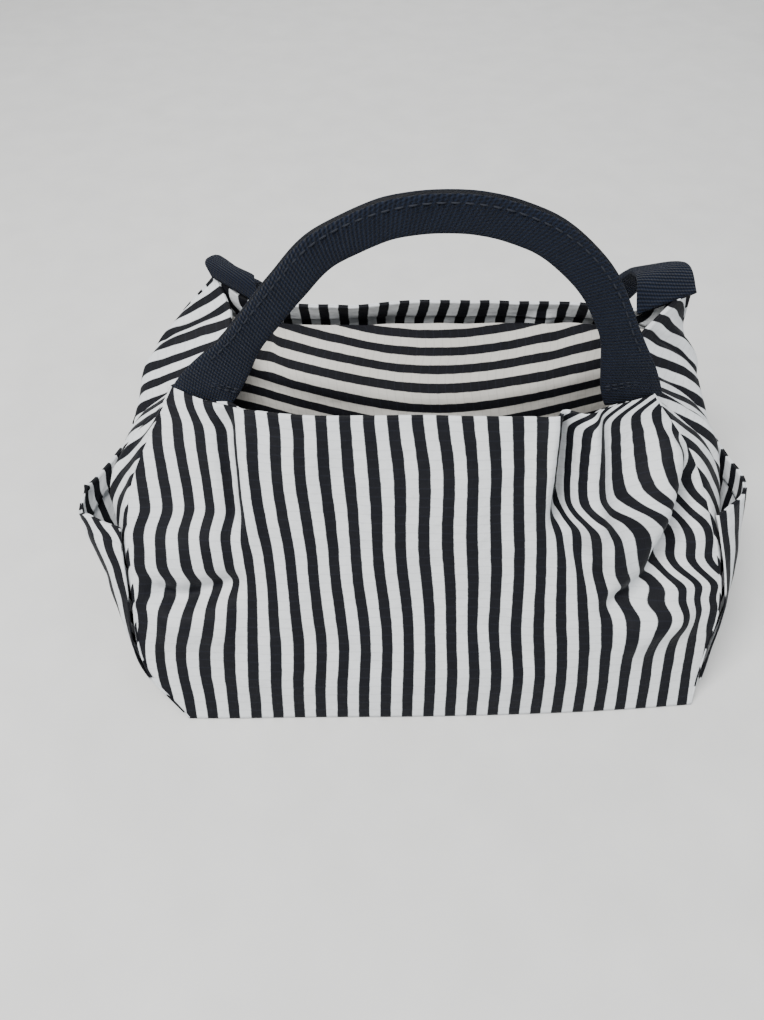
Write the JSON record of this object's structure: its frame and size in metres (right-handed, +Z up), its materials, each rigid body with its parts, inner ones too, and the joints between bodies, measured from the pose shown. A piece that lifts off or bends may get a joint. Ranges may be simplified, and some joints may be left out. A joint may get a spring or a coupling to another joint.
{
  "type": "foldable tote bag",
  "caption": "Small soft foldable tote bag of striped cloth with a loose striped lining, open side pockets and two webbing carrying handles.",
  "frame": {"origin": "centre of the base's underside, on the surface the bag stands on", "axes": "+X to the bag's right, along its longest side; +Y from the front panel to the back panel; +Z up"},
  "size_m": [0.3132, 0.2036, 0.2099],
  "materials": {
    "striped_cloth": "black and white stripes of 5 mm each, matte ripstop weave",
    "striped_lining": "black and warm white stripes of 5 mm each, matte weave",
    "navy_webbing": "coarse twill webbing, matte",
    "navy_thread": "sewing thread, matte"
  },
  "bodies": {
    "bag_body": {"front_panel": "striped_cloth", "back_panel": "striped_cloth", "left_gusset": "striped_cloth", "right_gusset": "striped_cloth", "base_panel": "striped_cloth", "front_rim_facing": "striped_cloth", "back_rim_facing": "striped_cloth", "left_rim_hem": "striped_cloth", "right_rim_hem": "striped_cloth", "front_lining": "striped_lining", "back_lining": "striped_lining", "left_lining": "striped_lining", "right_lining": "striped_lining", "base_lining": "striped_lining", "front_handle_left_end": "navy_webbing", "front_handle_right_end": "navy_webbing", "front_handle_left_tack": "navy_thread", "front_handle_right_tack": "navy_thread", "back_handle_left_end": "navy_webbing", "back_handle_right_end": "navy_webbing", "back_handle_left_tack": "navy_thread", "back_handle_right_tack": "navy_thread"},
    "front_handle": {"front_handle": "navy_webbing", "front_handle_grip_stitching": "navy_thread"},
    "back_handle": {"back_handle": "navy_webbing", "back_handle_grip_stitching": "navy_thread"},
    "left_pocket": {"left_pocket": "striped_cloth", "left_pocket_hem": "striped_cloth"},
    "right_pocket": {"right_pocket": "striped_cloth", "right_pocket_hem": "striped_cloth"}
  },
  "joints": [
    {"name": "front_handle_swing", "type": "hinge", "parent": "bag_body", "child": "front_handle", "pos_m": [-0.00696, 0.01725, 0.13267], "axis": [0.9999, -0.003, 0.0101], "range_deg": [-60, 95]},
    {"name": "back_handle_swing", "type": "hinge", "parent": "bag_body", "child": "back_handle", "pos_m": [0.00553, 0.10801, 0.12991], "axis": [0.9965, -0.0657, 0.0511], "range_deg": [0, 160]},
    {"name": "left_pocket_open", "type": "hinge", "parent": "bag_body", "child": "left_pocket", "pos_m": [-0.1285, 0, 0.008], "axis": [0, -1, 0], "range_deg": [0, 9]},
    {"name": "right_pocket_open", "type": "hinge", "parent": "bag_body", "child": "right_pocket", "pos_m": [0.1275, 0, 0.008], "axis": [0, 1, 0], "range_deg": [0, 9]}
  ]
}
